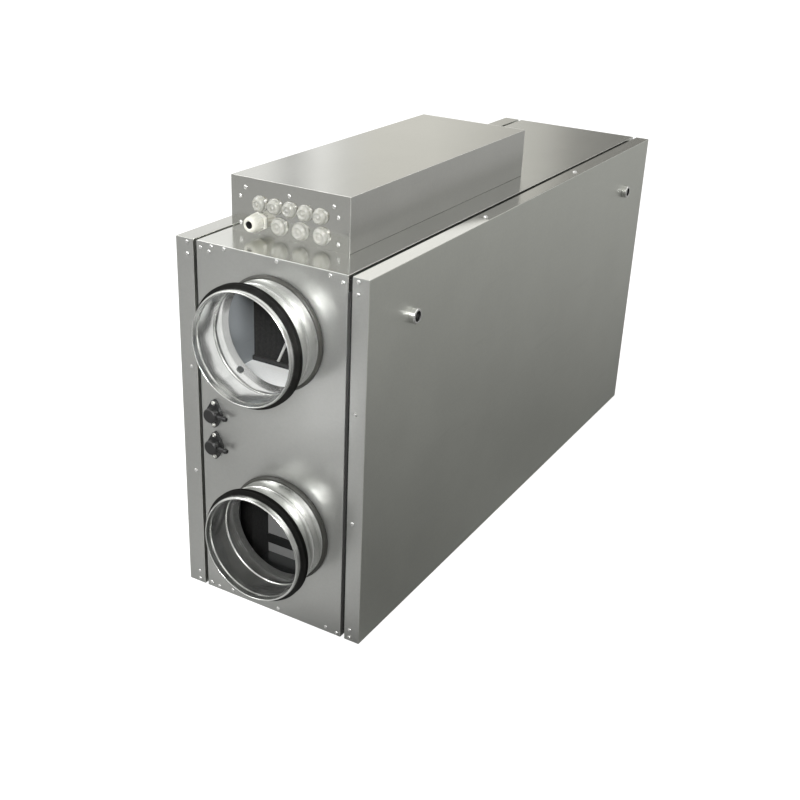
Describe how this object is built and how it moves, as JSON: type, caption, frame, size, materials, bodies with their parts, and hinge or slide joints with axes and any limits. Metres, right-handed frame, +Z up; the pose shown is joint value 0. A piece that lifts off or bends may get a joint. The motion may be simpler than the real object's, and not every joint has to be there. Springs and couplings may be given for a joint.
{
  "type": "air handling unit",
  "caption": "Compact insulated sheet-steel air handling unit with round duct collars at both ends, flat side service panels and a control box on the roof.",
  "frame": {"origin": "middle of the underside of the casing", "axes": "+Z up; Y along the casing, the end with the pressure taps on -Y; +X towards the right-hand service panel"},
  "size_m": [0.339, 1.2248, 0.6505],
  "materials": {
    "galvanised": "hot-dip galvanised sheet, fine spangle, half gloss",
    "galvanised_inner": "galvanised inner lining, dull",
    "collar_steel": "bright galvanised spigot sheet",
    "seal_rubber": "black rubber lip seal",
    "gasket_foam": "black closed-cell foam strip",
    "filter_black": "black filter face",
    "gland_plastic": "off-white moulded plastic",
    "grommet_plastic": "milky translucent soft plastic",
    "tap_plastic": "black moulded plastic",
    "lock_chrome": "polished chrome plated"
  },
  "bodies": {
    "root": {"cable_gland": "gland_plastic", "control_box_base": "galvanised", "control_box_cover": "galvanised", "control_box_front_plate": "galvanised", "control_box_rear_plate": "galvanised", "core": "galvanised_inner", "floor": "galvanised", "front_base_rings": "seal_rubber", "front_edge_strip": "galvanised_inner", "front_panel": "galvanised", "front_post": "filter_black", "front_shelf": "galvanised_inner", "front_sill_strips": "gasket_foam", "front_wall_plug": "tap_plastic", "grommets": "grommet_plastic", "left_gasket": "gasket_foam", "left_lining": "galvanised_inner", "left_panel_locks": "lock_chrome", "left_service_panel": "galvanised", "lower_front_collar": "collar_steel", "lower_front_partition": "galvanised_inner", "lower_front_seal": "seal_rubber", "lower_pressure_tap": "tap_plastic", "lower_rear_collar": "collar_steel", "lower_rear_partition": "galvanised_inner", "lower_rear_seal": "seal_rubber", "rear_base_rings": "seal_rubber", "rear_edge_strip": "galvanised_inner", "rear_panel": "galvanised", "rear_post": "filter_black", "rear_shelf": "galvanised_inner", "rear_sill_strips": "gasket_foam", "rear_wall_plug": "tap_plastic", "right_gasket": "gasket_foam", "right_lining": "galvanised_inner", "right_panel_locks": "lock_chrome", "right_service_panel": "galvanised", "roof": "galvanised", "upper_front_collar": "collar_steel", "upper_front_filter": "filter_black", "upper_front_seal": "seal_rubber", "upper_pressure_tap": "tap_plastic", "upper_rear_collar": "collar_steel", "upper_rear_filter": "filter_black", "upper_rear_seal": "seal_rubber"}
  },
  "joints": []
}
